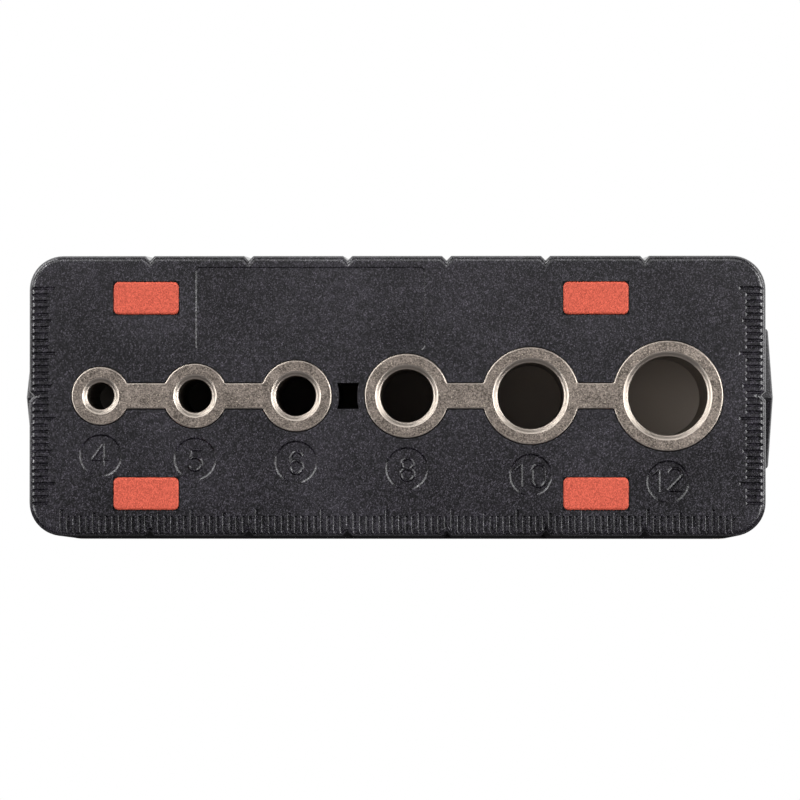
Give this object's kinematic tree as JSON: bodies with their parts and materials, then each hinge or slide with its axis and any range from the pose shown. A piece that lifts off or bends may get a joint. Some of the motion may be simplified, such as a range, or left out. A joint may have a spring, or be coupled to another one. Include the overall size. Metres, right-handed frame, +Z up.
{
  "type": "drill guide",
  "caption": "Hand-held drill guide block: steel guide rings in a moulded body with edge rulers, side notches, rubber grip pads and a V-groove underneath.",
  "frame": {"origin": "under the middle of the block, on the plane of the two lands that it stands on", "axes": "+X along the row of bores towards the largest bore, +Y from the long ruler to the opposite wall, +Z up out of the bores' mouths"},
  "size_m": [0.1182, 0.045, 0.0323],
  "materials": {
    "body": "fine spark-textured charcoal moulded plastic",
    "guide_steel": "grainy satin sintered steel",
    "grip_rubber": "matt coral red rubber"
  },
  "bodies": {
    "root": {"body": "body", "guide_strip_small": "guide_steel", "guide_strip_large": "guide_steel", "grip_pad_back_left": "grip_rubber", "grip_pad_back_right": "grip_rubber", "grip_pad_front_left": "grip_rubber", "grip_pad_front_right": "grip_rubber"}
  },
  "joints": []
}
